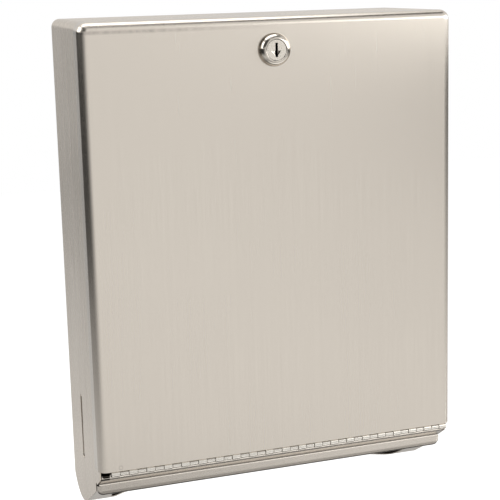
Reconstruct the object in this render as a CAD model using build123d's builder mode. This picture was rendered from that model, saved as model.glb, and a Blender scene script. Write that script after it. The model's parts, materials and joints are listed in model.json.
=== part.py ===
"""Surface-mounted dispenser for folded paper towels, in satin stainless sheet.

The wrapped cabinet hangs on a wall by four screws through its back panel. A pan-shaped door covers the
front, hangs on a continuous hinge along its lower edge, and is closed by a cam lock at the top. Towels
leave at the bottom, between the front rail and the curved lip of the back panel.

X is to the right, Y is into the wall, Z is up. The origin is on the wall, in the middle of the four holes.
"""

import os
from math import asin, atan2, cos, hypot, radians, sin, sqrt

from build123d import *

os.makedirs("parts", exist_ok=True)

# Cabinet
cabinet_depth = 100.0
cabinet_height = 358.0
sheet = 0.8
wrap_bend = 6.0
side_return = 9.0
opening_corner = 5.0
weld_gap = 0.05

# Wall holes, measured from the lowest point, the top and the sides
mount_low = 99.0
mount_from_top = 43.0
mount_from_side = 33.7
mount_hole = 5.6
back_flange = 10.0

# Curved bottom: where it is lowest, how far it rises to the wall, and the bend there
chute_low = 26.0
chute_rise = 12.4
chute_bend = 5.0
lip_land = 18.0
land_gap = 1.2
land_taper = 4.0
finger_depth = 19.0
finger_corner = 30.0

# Refill slots in the sides
slot_from_wall = 39.5
slot_bottom = 37.0
slot_length = 49.0
slot_width = 5.0

# Front rail under the door
rail_bottom = 23.0
strip_height = 9.1
strip_depth = 2.2
strip_edge = 1.6
strip_corner = 6.0
strip_seam = 2.8
side_lift = 2.6
step_drop = 6.8
nose_height = 2.7
nose_setback = 6.0
rail_bend = 0.6
ledge_run = 4.0

# Door
door_width = 273.0
door_depth = 15.3
door_edge = 6.0
door_corner = 7.0
door_gap = 0.7
side_reveal = 1.3

# Continuous hinge
hinge_setback = 2.5
hinge_inset_right = 3.0
hinge_inset_left = 8.0
knuckle_pitch = 6.38
knuckle_gap = 0.25
knuckle_sides = 8
bore_sides = 5
pin_radius = 1.2
pin_clearance = 0.05
leaf_sheet = 0.95
leaf_width = 11.0
leaf_notch = 0.35

# Cam lock
lock_drop = 23.2
head_rim = 2.3
head_height = 5.6
head_bevel = 1.1
bevel_drop = 2.0
plug_head = 7.1
plug_head_depth = 3.0
plug_recess = 0.4
plug_wall = 1.1
running_fit = 0.05
case_wall = 3.05
case_length = 17.0
flat_depth = 1.3
lock_fit = 0.1
key_width = 1.8
key_top = 5.0
key_bottom = 4.8
key_flare = 3.1
key_flare_drop = 0.7
key_flare_depth = 1.0
wafer_count = 5
wafer_pitch = 2.7
wafer_thick = 0.6
wafer_width = 4.6
wafer_rim = 1.2
wafer_ear = 1.6
wafer_ear_height = 1.2
wafer_clear = 0.1
spring_length = 5.2
spring_wire = 0.25
spring_sides = 6
nut_across = 24.0
nut_thick = 3.0
nut_washer_thick = 0.8
nut_washer_rim = 2.4

# Cam and what holds it on the plug
stop_thick = 1.2
stop_radius = 8.4
stop_lug_angle = 9.0
stop_slack = 2.0
stop_depth = 2.0
turn_angle = 90.0
tail_square = 6.4
tail_radius = 2.9
cam_thick = 2.0
cam_width = 11.0
cam_room = 1.7
tail_washer_thick = 1.0
tail_washer_rim = 2.4
tail_nut_across = 10.0
tail_nut_thick = 2.8
strike_thick = 1.2
strike_width = 40.0
lock_room = 2.3

# Places that follow from the sizes
half_cabinet = door_width / 2 - side_reveal
half_inside = half_cabinet - sheet
mount_spacing_x = 2 * (half_cabinet - mount_from_side)
mount_spacing_z = cabinet_height - mount_low - mount_from_top
base = -mount_low - mount_spacing_z / 2
top = base + cabinet_height
door_face = -cabinet_depth
front = door_face + door_depth + door_gap

knuckle_radius = pin_radius + pin_clearance + leaf_sheet
rail_low = base + rail_bottom
strip_top = rail_low + strip_height
nose_low = strip_top + step_drop
ledge = nose_low + nose_height
hinge_y = door_face + hinge_setback
hinge_z = ledge + knuckle_radius
door_bottom = hinge_z + knuckle_radius
nose_front = door_face + nose_setback

knuckle_count = 2 * int((door_width - hinge_inset_left - hinge_inset_right) / knuckle_pitch / 2 - 0.5) + 1
hinge_right = door_width / 2 - hinge_inset_right
hinge_left = hinge_right - knuckle_count * knuckle_pitch

chute_radius = (chute_low**2 + chute_rise**2) / (2 * chute_rise)
chute_centre = (-chute_low, base + chute_radius)

plug_radius = hypot(wafer_width / 2 + wafer_ear + wafer_clear, (spring_length + wafer_ear_height) / 2) + plug_wall
case_bore = plug_radius + running_fit
case_radius = case_bore + case_wall
head_radius = case_radius + head_rim
flat_half = case_radius - flat_depth
lock_z = top - lock_drop
head_front = door_face - head_height
plug_front = head_front + plug_recess
plug_shoulder = plug_front + plug_head_depth
case_back = door_face + case_length
stop_front = case_back + 2 * running_fit
cam_front = stop_front + stop_thick
cam_back = cam_front + cam_thick
tail_washer_back = cam_back + tail_washer_thick
tail_nut_back = tail_washer_back + tail_nut_thick
top_return = lock_drop - case_radius - lock_room
cam_reach = lock_drop - sheet - cam_room
lock_axis = Axis((0, 0, lock_z), (0, 1, 0))


def facing(y):
    """A plane that faces the front at depth y, with X to the right and Z up."""
    return Plane.XZ.offset(-y)


def at_lock(y):
    """The same, centred on the lock."""
    return Plane(origin=(0, y, lock_z), x_dir=(1, 0, 0), z_dir=(0, -1, 0))


def inward(centre, point):
    """The point on the inner face of a curved sheet, one thickness nearer to the centre of its curve."""
    share = 1 - sheet / hypot(point[0] - centre[0], point[1] - centre[1])
    return (centre[0] + share * (point[0] - centre[0]), centre[1] + share * (point[1] - centre[1]))


def other_face(points):
    """The corners of a bent sheet's other face, one thickness to the left of the way along the points."""
    normals = []
    for start, end in zip(points, points[1:]):
        length = hypot(end[0] - start[0], end[1] - start[1])
        normals.append(((start[1] - end[1]) / length, (end[0] - start[0]) / length))
    corners = []
    for point, n, m in zip(points, normals[:1] + normals, normals + normals[-1:]):
        share = sheet / (1 + n[0] * m[0] + n[1] * m[1])
        corners.append((point[0] + share * (n[0] + m[0]), point[1] + share * (n[1] + m[1])))
    return corners


# The slanted lower edge of the sides starts behind the strip and runs into the curve of the bottom.
side_front = front + strip_depth + strip_seam
side_corner = (side_front, rail_low + side_lift)
reach = chute_centre[0] - side_corner[0]
fall = chute_centre[1] - side_corner[1]
slope = atan2(fall, reach) - asin(chute_radius / hypot(reach, fall))
tangent_run = sqrt(reach**2 + fall**2 - chute_radius**2)
chute_start = (side_corner[0] + tangent_run * cos(slope), side_corner[1] + tangent_run * sin(slope))
land_front = (side_corner[0] + land_gap * cos(slope), side_corner[1] + land_gap * sin(slope))
chute_lowest = (-chute_low, base)

# The curve ends in a small bend up the wall.
bend_drop = sqrt((chute_radius - chute_bend) ** 2 - (chute_low - chute_bend) ** 2)
bend_centre = (-chute_bend, chute_centre[1] - bend_drop)
bend_ratio = chute_radius / (chute_radius - chute_bend)
chute_end = (
    chute_centre[0] + bend_ratio * (bend_centre[0] - chute_centre[0]),
    chute_centre[1] + bend_ratio * (bend_centre[1] - chute_centre[1]),
)
wall_start = (0, bend_centre[1])


# Top and sides of the cabinet, one sheet with narrow returns round the front
with BuildPart() as cabinet_wrap:
    with BuildSketch(facing(0)):
        with Locations((0, base)):
            Rectangle(2 * half_cabinet, cabinet_height, align=(Align.CENTER, Align.MIN))
        fillet(vertices().group_by(Axis.Y)[-1], wrap_bend)
    extrude(amount=-front)
    fillet(faces().sort_by(Axis.Y)[0].edges().sort_by(Axis.Z)[1:], sheet)
    with BuildSketch(facing(0)):
        with Locations((0, base)):
            Rectangle(2 * half_inside, cabinet_height - sheet, align=(Align.CENTER, Align.MIN))
        fillet(vertices().group_by(Axis.Y)[-1], wrap_bend - sheet)
    extrude(amount=-front - sheet, mode=Mode.SUBTRACT)
    with BuildSketch(facing(front)):
        with Locations((0, door_bottom + door_gap)):
            Rectangle(
                2 * (half_cabinet - side_return),
                top - top_return - door_bottom - door_gap,
                align=(Align.CENTER, Align.MIN),
            )
        fillet(vertices().group_by(Axis.Y)[-1], opening_corner)
    extrude(amount=-sheet, mode=Mode.SUBTRACT)
    with BuildSketch(facing(front)):
        with Locations((0, base)):
            Rectangle(2 * half_inside, door_bottom + door_gap - base, align=(Align.CENTER, Align.MIN))
    extrude(amount=-sheet, mode=Mode.SUBTRACT)
    with BuildSketch(Plane.YZ):
        with BuildLine():
            Polyline((front, top), (front, strip_top), (side_front, strip_top), side_corner, chute_start)
            ThreePointArc(
                chute_start,
                chute_lowest,
                chute_end,
            )
            RadiusArc(chute_end, wall_start, -chute_bend)
            Line(wall_start, (0, top))
            Line((0, top), (front, top))
        make_face()
    extrude(amount=half_cabinet, both=True, mode=Mode.INTERSECT)
    for side in (-1, 1):
        with BuildSketch(Plane.YZ.offset(side * half_inside)):
            with BuildLine():
                Polyline(
                    (front + ledge_run, door_bottom - door_gap),
                    (nose_front, door_bottom - door_gap),
                    (nose_front, nose_low),
                    (front, strip_top),
                    (front + ledge_run, strip_top),
                    close=True,
                )
            make_face()
            fillet(vertices().group_by(Axis.X)[0], rail_bend + sheet)
        extrude(amount=side * sheet)
    with BuildSketch(Plane.YZ):
        with Locations((-slot_from_wall, base + slot_bottom + slot_length / 2)):
            SlotOverall(slot_length, slot_width, rotation=90)
    extrude(amount=half_cabinet, both=True, mode=Mode.SUBTRACT)
cabinet_wrap.part.label = "cabinet_wrap"
export_step(cabinet_wrap.part, "parts/cabinet_wrap.step")

# Back panel, which curves forward at the bottom into the lip that the towels slide over. The lip runs on up to
# the strip at both ends, and the towels leave through the wide cut-out between these two lands.
panel_top = top - sheet - weld_gap
with BuildPart() as back_panel:
    with BuildSketch(Plane.YZ):
        inner_start = inward(chute_centre, chute_start)
        inner_front = (
            land_front[0] + inner_start[0] - chute_start[0],
            land_front[1] + inner_start[1] - chute_start[1],
        )
        inner_lowest = inward(chute_centre, chute_lowest)
        inner_end = inward(chute_centre, chute_end)
        with BuildLine():
            Polyline((-sheet, wall_start[1]), (-sheet, panel_top), (0, panel_top), wall_start)
            RadiusArc(wall_start, chute_end, chute_bend)
            ThreePointArc(chute_end, chute_lowest, chute_start)
            Polyline(chute_start, land_front, inner_front, inner_start)
            ThreePointArc(inner_start, inner_lowest, inner_end)
            RadiusArc(inner_end, (-sheet, wall_start[1]), sheet - chute_bend)
        make_face()
    extrude(amount=half_inside - weld_gap, both=True)
    fillet(edges().filter_by(Axis.Y).group_by(Axis.Z)[-1], wrap_bend - sheet)
    with BuildSketch(facing(0)):
        for side in (-1, 1):
            with Locations((side * (half_inside - weld_gap - sheet / 2), wall_start[1])):
                Rectangle(sheet, top - wrap_bend - wall_start[1], align=(Align.CENTER, Align.MIN))
        with Locations((0, panel_top)):
            Rectangle(2 * (half_inside - wrap_bend), sheet, align=(Align.CENTER, Align.MAX))
    extrude(amount=back_flange)
    with BuildSketch(Plane.XY.offset(base)):
        outlet_half = half_inside - lip_land
        outlet_back = chute_start[0] + finger_depth
        with BuildLine():
            Polyline(
                (-outlet_half - land_taper, side_front),
                (-outlet_half, outlet_back),
                (outlet_half, outlet_back),
                (outlet_half + land_taper, side_front),
                close=True,
            )
        make_face()
        fillet(vertices().group_by(Axis.Y)[-1], finger_corner)
    extrude(amount=strip_top - base, mode=Mode.SUBTRACT)
    with BuildSketch(facing(0)):
        with GridLocations(mount_spacing_x, mount_spacing_z, 2, 2):
            Circle(mount_hole / 2)
    extrude(amount=sheet, mode=Mode.SUBTRACT)
back_panel.part.label = "back_panel"
export_step(back_panel.part, "parts/back_panel.step")


def strip_form(inset):
    """The outer form of the strip, or the hollow behind it when it is inset by a thickness."""
    with BuildPart() as form:
        with BuildSketch(facing(front + strip_depth)):
            with Locations((0, strip_top)):
                Rectangle(
                    2 * (half_cabinet - inset),
                    strip_height - inset,
                    align=(Align.CENTER, Align.MAX),
                )
            fillet(vertices().group_by(Axis.Y)[0], strip_corner - inset)
        extrude(amount=strip_depth - inset)
        fillet(faces().sort_by(Axis.Y)[0].edges().sort_by(Axis.Z)[:-1], strip_edge - inset)
    return form.part


# Front rail: a ledge for the hinge, a nose, a step back, and a strip with its ends and lower edge rolled back
rail_outside = [
    (front + ledge_run, ledge),
    (nose_front, ledge),
    (nose_front, nose_low),
    (front, strip_top),
    (front, strip_top - strip_height / 3),
]
rail_inside = other_face(rail_outside)
with BuildPart() as front_rail:
    add(strip_form(0))
    add(strip_form(sheet), mode=Mode.SUBTRACT)
    with BuildSketch(Plane.YZ):
        with BuildLine():
            FilletPolyline(*rail_outside, radius=[rail_bend + sheet, rail_bend + sheet, rail_bend])
            Line(rail_outside[-1], rail_inside[-1])
            FilletPolyline(*rail_inside, radius=[rail_bend, rail_bend, rail_bend + sheet])
            Line(rail_inside[0], rail_outside[0])
        make_face()
    extrude(amount=half_inside - weld_gap, both=True)
front_rail.part.label = "front_rail"
export_step(front_rail.part, "parts/front_rail.step")

# Keeper behind the top return, which the cam turns up against
with BuildPart() as lock_strike:
    with BuildSketch(facing(front + sheet)):
        with Locations((0, top - top_return)):
            Rectangle(strike_width, top_return - sheet - weld_gap, align=(Align.CENTER, Align.MIN))
        fillet(vertices().group_by(Axis.Y)[0], sheet)
    extrude(amount=-strike_thick)
lock_strike.part.label = "lock_strike"
export_step(lock_strike.part, "parts/lock_strike.step")


def hinge_leaf(first, lift):
    """One leaf of the hinge, with every second knuckle from first on, its plate above (1) or below (-1)."""
    face = hinge_z + lift * knuckle_radius
    starts = [hinge_left + i * knuckle_pitch + knuckle_gap / 2 for i in range(first, knuckle_count, 2)]
    with BuildPart() as leaf:
        with BuildSketch(*[Plane.YZ.offset(start) for start in starts]):
            with Locations((hinge_y, hinge_z)):
                RegularPolygon(knuckle_radius, knuckle_sides, rotation=90)
            with Locations((hinge_y, face - lift * leaf_sheet / 2)):
                Rectangle(leaf_width / 2, leaf_sheet, align=(Align.MIN, Align.CENTER))
        extrude(amount=knuckle_pitch - knuckle_gap)
        with BuildSketch(Plane.YZ.offset(hinge_left)):
            with Locations((hinge_y + knuckle_radius + leaf_notch, face - lift * leaf_sheet / 2)):
                Rectangle(
                    leaf_width - knuckle_radius - leaf_notch,
                    leaf_sheet,
                    align=(Align.MIN, Align.CENTER),
                )
        extrude(amount=knuckle_count * knuckle_pitch)
        with BuildSketch(Plane.YZ.offset(hinge_left)):
            with Locations((hinge_y, hinge_z)):
                RegularPolygon(pin_radius + pin_clearance, bore_sides, major_radius=False)
        extrude(amount=knuckle_count * knuckle_pitch, mode=Mode.SUBTRACT)
    return leaf.part


hinge_leaf_door = hinge_leaf(0, 1)
hinge_leaf_door.label = "hinge_leaf_door"
export_step(hinge_leaf_door, "parts/hinge_leaf_door.step")

hinge_leaf_cabinet = hinge_leaf(1, -1)
hinge_leaf_cabinet.label = "hinge_leaf_cabinet"
export_step(hinge_leaf_cabinet, "parts/hinge_leaf_cabinet.step")

with BuildPart() as hinge_pin:
    with BuildSketch(Plane.YZ.offset(hinge_left)):
        with Locations((hinge_y, hinge_z)):
            Circle(pin_radius)
    extrude(amount=knuckle_count * knuckle_pitch)
hinge_pin.part.label = "hinge_pin"
export_step(hinge_pin.part, "parts/hinge_pin.step")


def barrel_hole():
    """The outline of a hole that fits the lock's barrel and its two flats."""
    Circle(case_radius + lock_fit)
    Rectangle(2 * (flat_half + lock_fit), 3 * case_radius, mode=Mode.INTERSECT)


def door_form(inset):
    """The door's outer form, or the hollow inside it when it is inset by a thickness."""
    with BuildPart() as form:
        with BuildSketch(facing(door_face + door_depth)):
            with Locations((0, door_bottom + inset)):
                Rectangle(
                    door_width - 2 * inset,
                    top - door_bottom - 2 * inset,
                    align=(Align.CENTER, Align.MIN),
                )
            fillet(vertices().group_by(Axis.Y)[-1], door_corner - inset)
        extrude(amount=door_depth - inset)
        fillet(faces().sort_by(Axis.Y)[0].edges().sort_by(Axis.Z)[1:], door_edge - inset)
    return form.part


# Door, a pan drawn from one sheet, rounded along its top and sides and folded square along its lower edge
with BuildPart() as door_pan:
    add(door_form(0))
    add(door_form(sheet), mode=Mode.SUBTRACT)
    with BuildSketch(at_lock(door_face)):
        barrel_hole()
    extrude(amount=-sheet, mode=Mode.SUBTRACT)
door_pan.part.label = "door_pan"
export_step(door_pan.part, "parts/door_pan.step")

# Lock case with a bevelled head, two flats along its barrel and a notch that limits the turn
with BuildPart() as lock_case:
    with BuildSketch(Plane.XY.offset(lock_z)):
        with BuildLine():
            Polyline(
                (case_bore, plug_shoulder),
                (case_bore, case_back),
                (case_radius, case_back),
                (case_radius, door_face),
                (head_radius, door_face),
                (head_radius - head_bevel, head_front + bevel_drop),
                (plug_head + running_fit, head_front),
                (plug_head + running_fit, plug_shoulder),
                (case_bore, plug_shoulder),
            )
        make_face()
    revolve(axis=lock_axis)
    with BuildSketch(at_lock(door_face)):
        for side in (-1, 1):
            with Locations((side * (flat_half + flat_depth), 0)):
                Rectangle(2 * flat_depth, 2 * case_radius)
    extrude(amount=-case_length, mode=Mode.SUBTRACT)
    with BuildSketch(at_lock(case_back)):
        notch_turn = turn_angle + stop_lug_angle + 2 * stop_slack
        notch_from = radians(270 + stop_lug_angle / 2 + stop_slack)
        notch_to = notch_from - radians(notch_turn)
        notch_mid = (notch_from + notch_to) / 2
        notch_out = 2 * case_radius
        with BuildLine():
            Polyline(
                (0, 0),
                (notch_out * cos(notch_from), notch_out * sin(notch_from)),
                (notch_out * cos(notch_mid), notch_out * sin(notch_mid)),
                (notch_out * cos(notch_to), notch_out * sin(notch_to)),
                close=True,
            )
        make_face()
    extrude(amount=stop_depth, mode=Mode.SUBTRACT)
lock_case.part.label = "lock_case"
export_step(lock_case.part, "parts/lock_case.step")

# Washer that fits the flats, and hex nut, which clamp the case behind the door
with BuildPart() as lock_washer:
    with BuildSketch(at_lock(door_face + sheet)):
        Circle(case_radius + nut_washer_rim)
    extrude(amount=-nut_washer_thick)
    with BuildSketch(at_lock(door_face + sheet)):
        barrel_hole()
    extrude(amount=-nut_washer_thick, mode=Mode.SUBTRACT)
lock_washer.part.label = "lock_washer"
export_step(lock_washer.part, "parts/lock_washer.step")

with BuildPart() as lock_nut:
    with BuildSketch(at_lock(door_face + sheet + nut_washer_thick)):
        RegularPolygon(nut_across / 2, 6, major_radius=False)
        Circle(case_radius + lock_fit, mode=Mode.SUBTRACT)
    extrude(amount=-nut_thick)
lock_nut.part.label = "lock_nut"
export_step(lock_nut.part, "parts/lock_nut.step")

# Wafers stand in a row along the plug, each with an ear that a small spring pushes up.
wafer_half_height = sqrt((plug_radius - wafer_clear) ** 2 - (wafer_width / 2) ** 2)
pocket_half_height = (spring_length + wafer_ear_height) / 2
ear_low = pocket_half_height - wafer_ear_height
ear_out = wafer_width / 2 + wafer_ear
first_wafer = plug_shoulder + wafer_pitch
wafer_places = [first_wafer + i * wafer_pitch for i in range(wafer_count)]
key_end = wafer_places[-1] + wafer_pitch
spring_radius = (wafer_ear - wafer_clear) / 2

# Plug with the keyway, the wafer slots and their spring pockets, and a square tail for the cam
with BuildPart() as lock_plug:
    with BuildSketch(Plane.XY.offset(lock_z)):
        with BuildLine():
            Polyline(
                (0, plug_front),
                (plug_head, plug_front),
                (plug_head, plug_shoulder - running_fit),
                (plug_radius, plug_shoulder - running_fit),
                (plug_radius, stop_front),
                (tail_radius, stop_front),
                (tail_radius, tail_nut_back),
                (0, tail_nut_back),
                close=True,
            )
        make_face()
    revolve(axis=lock_axis)
    with BuildSketch(at_lock(stop_front)):
        Rectangle(tail_square, tail_square)
    extrude(amount=-(cam_back - stop_front) + running_fit)
    with BuildSketch(at_lock(plug_front)):
        with Locations((0, (key_top - key_bottom) / 2)):
            Rectangle(key_width, key_top + key_bottom)
    extrude(amount=-(plug_head_depth - running_fit), mode=Mode.SUBTRACT)
    with BuildSketch(at_lock(plug_front)):
        with Locations((0, (wafer_half_height - 2 * wafer_rim - key_bottom) / 2)):
            Rectangle(key_width, wafer_half_height - 2 * wafer_rim + key_bottom)
    extrude(amount=plug_front - key_end, mode=Mode.SUBTRACT)
    with BuildSketch(at_lock(plug_front)):
        with BuildLine():
            Polyline(
                (-key_flare, -key_flare_drop),
                (0, -key_bottom),
                (key_flare, -key_flare_drop),
                close=True,
            )
        make_face()
    extrude(amount=-key_flare_depth, mode=Mode.SUBTRACT)
    for place in wafer_places:
        with BuildSketch(at_lock(place - wafer_clear / 2)):
            Rectangle(wafer_width + 2 * wafer_clear, 2 * plug_radius)
        extrude(amount=-(wafer_thick + wafer_clear), mode=Mode.SUBTRACT)
        with BuildSketch(at_lock(place + wafer_thick / 2 - spring_radius - wafer_clear / 2)):
            with Locations((wafer_width / 2, 0)):
                Rectangle(
                    wafer_ear + wafer_clear,
                    2 * pocket_half_height,
                    align=(Align.MIN, Align.CENTER),
                )
        extrude(amount=-(2 * spring_radius + wafer_clear), mode=Mode.SUBTRACT)
lock_plug.part.label = "lock_plug"
export_step(lock_plug.part, "parts/lock_plug.step")

for number, place in enumerate(wafer_places, start=1):
    with BuildPart() as wafer:
        with BuildSketch(at_lock(place)):
            Rectangle(wafer_width, 2 * wafer_half_height)
            with Locations((wafer_width / 2, ear_low)):
                Rectangle(wafer_ear, wafer_ear_height - wafer_clear, align=(Align.MIN, Align.MIN))
            with Locations((0, (wafer_half_height - wafer_rim - key_bottom - wafer_clear) / 2)):
                Rectangle(
                    key_width + 2 * wafer_clear,
                    wafer_half_height - wafer_rim + key_bottom + wafer_clear,
                    mode=Mode.SUBTRACT,
                )
        extrude(amount=-wafer_thick)
    wafer.part.label = f"wafer_{number}"
    export_step(wafer.part, f"parts/wafer_{number}.step")

    with BuildPart() as wafer_spring:
        with BuildSketch(Plane.XY.offset(lock_z - pocket_half_height)):
            with Locations((ear_out - spring_radius, place + wafer_thick / 2)):
                RegularPolygon(spring_radius, spring_sides)
                RegularPolygon(spring_radius - spring_wire, spring_sides, mode=Mode.SUBTRACT)
        extrude(amount=spring_length)
    wafer_spring.part.label = f"wafer_spring_{number}"
    export_step(wafer_spring.part, f"parts/wafer_spring_{number}.step")

# Stop washer, whose lug runs in the notch of the case
lug_inside = case_bore + running_fit
lug_outside = flat_half - lock_fit
lug_half = radians(stop_lug_angle / 2)
with BuildPart() as stop_washer:
    with BuildSketch(at_lock(stop_front)):
        Circle(stop_radius)
        Rectangle(tail_square + 2 * running_fit, tail_square + 2 * running_fit, mode=Mode.SUBTRACT)
    extrude(amount=-stop_thick)
    with BuildSketch(at_lock(stop_front)):
        with BuildLine():
            Polyline(
                (lug_inside * sin(lug_half), -lug_inside * cos(lug_half)),
                (lug_outside * sin(lug_half), -lug_outside * cos(lug_half)),
                (-lug_outside * sin(lug_half), -lug_outside * cos(lug_half)),
                (-lug_inside * sin(lug_half), -lug_inside * cos(lug_half)),
                close=True,
            )
        make_face()
    extrude(amount=stop_depth - 2 * lock_fit)
stop_washer.part.label = "stop_washer"
export_step(stop_washer.part, "parts/stop_washer.step")

# Cam, which points sideways while the door is free and upwards when it is locked
with BuildPart() as lock_cam:
    with BuildSketch(at_lock(cam_front)):
        Circle(cam_width / 2)
        with Locations((-cam_reach / 2, 0)):
            Rectangle(cam_reach, cam_width)
        fillet(vertices().group_by(Axis.X)[0], cam_width / 4)
        Rectangle(tail_square + 2 * running_fit, tail_square + 2 * running_fit, mode=Mode.SUBTRACT)
    extrude(amount=-cam_thick)
lock_cam.part.label = "lock_cam"
export_step(lock_cam.part, "parts/lock_cam.step")

with BuildPart() as cam_washer:
    with BuildSketch(at_lock(cam_back)):
        Circle(tail_radius + tail_washer_rim)
        Circle(tail_radius + lock_fit, mode=Mode.SUBTRACT)
    extrude(amount=-tail_washer_thick)
cam_washer.part.label = "cam_washer"
export_step(cam_washer.part, "parts/cam_washer.step")

with BuildPart() as cam_nut:
    with BuildSketch(at_lock(tail_washer_back)):
        RegularPolygon(tail_nut_across / 2, 6, major_radius=False)
        Circle(tail_radius + lock_fit, mode=Mode.SUBTRACT)
    extrude(amount=-tail_nut_thick)
cam_nut.part.label = "cam_nut"
export_step(cam_nut.part, "parts/cam_nut.step")
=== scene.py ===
# %% [markdown]
# # A folded paper towel dispenser in satin steel
#
# The cabinet hangs on a wall. Its door is a shallow pan on a long hinge of small knuckles, with a round lock
# near the top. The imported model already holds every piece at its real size, so this lesson only dresses it:
# it lights it as a studio would, gives each metal its own finish, and models the sheet pieces again with the
# fine bends and edges that catch the light.

# %% Load the frame
import json
import math

import bmesh
import bpy
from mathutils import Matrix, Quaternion, Vector


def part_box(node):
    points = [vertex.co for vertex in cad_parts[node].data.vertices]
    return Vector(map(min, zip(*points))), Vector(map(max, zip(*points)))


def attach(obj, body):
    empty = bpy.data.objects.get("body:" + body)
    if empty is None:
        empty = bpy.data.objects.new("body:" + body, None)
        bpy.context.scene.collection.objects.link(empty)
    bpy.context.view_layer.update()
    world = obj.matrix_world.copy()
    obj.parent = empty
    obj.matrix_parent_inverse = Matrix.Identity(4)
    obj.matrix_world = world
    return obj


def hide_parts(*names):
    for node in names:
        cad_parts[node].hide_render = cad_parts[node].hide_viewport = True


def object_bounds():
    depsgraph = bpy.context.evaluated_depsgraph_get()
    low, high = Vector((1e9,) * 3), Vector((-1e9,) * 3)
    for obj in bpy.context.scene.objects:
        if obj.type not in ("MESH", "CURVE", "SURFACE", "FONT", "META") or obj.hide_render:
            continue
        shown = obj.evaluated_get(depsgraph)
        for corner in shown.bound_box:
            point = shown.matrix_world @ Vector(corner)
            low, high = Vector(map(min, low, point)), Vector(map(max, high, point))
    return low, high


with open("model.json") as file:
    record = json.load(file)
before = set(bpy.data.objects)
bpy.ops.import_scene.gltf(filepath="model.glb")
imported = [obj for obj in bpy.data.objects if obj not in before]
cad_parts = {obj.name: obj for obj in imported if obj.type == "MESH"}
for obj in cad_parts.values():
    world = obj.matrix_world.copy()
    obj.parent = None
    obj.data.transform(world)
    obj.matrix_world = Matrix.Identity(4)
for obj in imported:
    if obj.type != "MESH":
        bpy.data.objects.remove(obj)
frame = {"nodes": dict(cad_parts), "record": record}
cad_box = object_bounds()
scene = bpy.context.scene
mm = 0.001

# %% [markdown]
# ## Camera
#
# The picture was taken from the left and a little above, with a long lens. A camera has a place, a direction
# and a lens, so those three are written down as the numbers that a fit of the cabinet's edges gave. The
# direction is made with to_track_quat, which turns the camera's own -Z towards a vector, and the small roll
# comes after it. The shift is small: the picture was cropped a little off its middle.

# %% Camera
camera_eye = Vector((-309.9, -956.8, 178.5)) * mm
camera_yaw = math.radians(18.97)
camera_pitch = math.radians(10.87)
camera_roll = math.radians(-1.44)
camera_lens = 94.37
camera_sensor = 36

forward = Vector((
    math.cos(camera_pitch) * math.sin(camera_yaw),
    math.cos(camera_pitch) * math.cos(camera_yaw),
    -math.sin(camera_pitch),
))
camera = bpy.data.objects.new("camera", bpy.data.cameras.new("camera"))
camera.data.lens = camera_lens
camera.data.sensor_width = camera_sensor
camera.data.shift_x = -0.015
camera.data.shift_y = -0.046
camera.location = camera_eye
camera.rotation_mode = "QUATERNION"
camera.rotation_quaternion = forward.to_track_quat("-Z", "Y") @ Quaternion((0, 0, 1), camera_roll)
scene.collection.objects.link(camera)
scene.camera = camera
print("camera at", [round(x, 3) for x in camera_eye], "lens", camera_lens)

# %% [markdown]
# ## Room
#
# Metal has little colour of its own: it shows the room that it stands in. A white room gives an even, pale
# front. The world is white to the camera and to reflections, and dimmer to all other light, so that gaps and
# hollows keep some shadow. A Light Path node tells the kinds of ray apart.

# %% Room
room_light = 0.6
room_seen = 1.0
scene.view_settings.view_transform = "Standard"


def feed(tree, socket, value):
    """Set an input, or link it where the value is another node's output."""
    if isinstance(value, bpy.types.NodeSocket):
        tree.links.new(value, socket)
    else:
        socket.default_value = value


def add_node(tree, kind, **inputs):
    """A node with its inputs fed by name, with an underscore for each space in the name."""
    node = tree.nodes.new(kind)
    for name, value in inputs.items():
        feed(tree, node.inputs[name.replace("_", " ")], value)
    return node


def seen_directly(tree):
    """1 for what the camera, a reflection or a clear body sees, and 0 for all other light."""
    path = tree.nodes.new("ShaderNodeLightPath")
    total = path.outputs["Is Camera Ray"]
    for ray in ("Is Glossy Ray", "Is Transmission Ray"):
        add = tree.nodes.new("ShaderNodeMath")
        add.operation = "ADD"
        add.use_clamp = True
        feed(tree, add.inputs[0], total)
        feed(tree, add.inputs[1], path.outputs[ray])
        total = add.outputs[0]
    return total


world = bpy.data.worlds.new("white_room")
scene.world = world
world.use_nodes = True
room = world.node_tree
room.nodes.clear()
seen = seen_directly(room)
strength = add_node(room, "ShaderNodeMapRange", Value=seen, To_Min=room_light, To_Max=room_seen)
background = add_node(room, "ShaderNodeBackground", Color=(1, 1, 1, 1), Strength=strength.outputs[0])
add_node(room, "ShaderNodeOutputWorld", Surface=background.outputs[0])
print("world is white to camera and reflections")

# %% [markdown]
# ## Soft boxes
#
# Three lamps light the object, and the metal mirrors them too, so they are wide rectangles: a small lamp
# would leave a hard white spot in every bend. The one overhead is the white line along the top edge, the one
# on the right makes the front paler towards its upper right corner, and the one on the left lifts the
# cabinet's side.


# %% Soft boxes
def soft_box(name, place, target, width, height, power):
    """A rectangular lamp at place that faces target."""
    lamp = bpy.data.lights.new(name, "AREA")
    lamp.shape = "RECTANGLE"
    lamp.size = width
    lamp.size_y = height
    lamp.energy = power
    obj = bpy.data.objects.new(name, lamp)
    obj.location = place
    obj.rotation_mode = "QUATERNION"
    obj.rotation_quaternion = (Vector(target) - Vector(place)).to_track_quat("-Z", "Y")
    scene.collection.objects.link(obj)


soft_box("overhead_box", (-0.18, -0.08, 1.5), (-0.18, -0.08, 0), 1.45, 0.75, 9)
soft_box("right_box", (1.16, -0.75, 0.44), (0.0, -0.18, 0.44), 1.84, 0.62, 9.4)
soft_box("left_box", (-1.38, 0.057, 0.79), (-0.1, -0.1, 0.13), 1.2, 0.95, 9.3)

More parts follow.
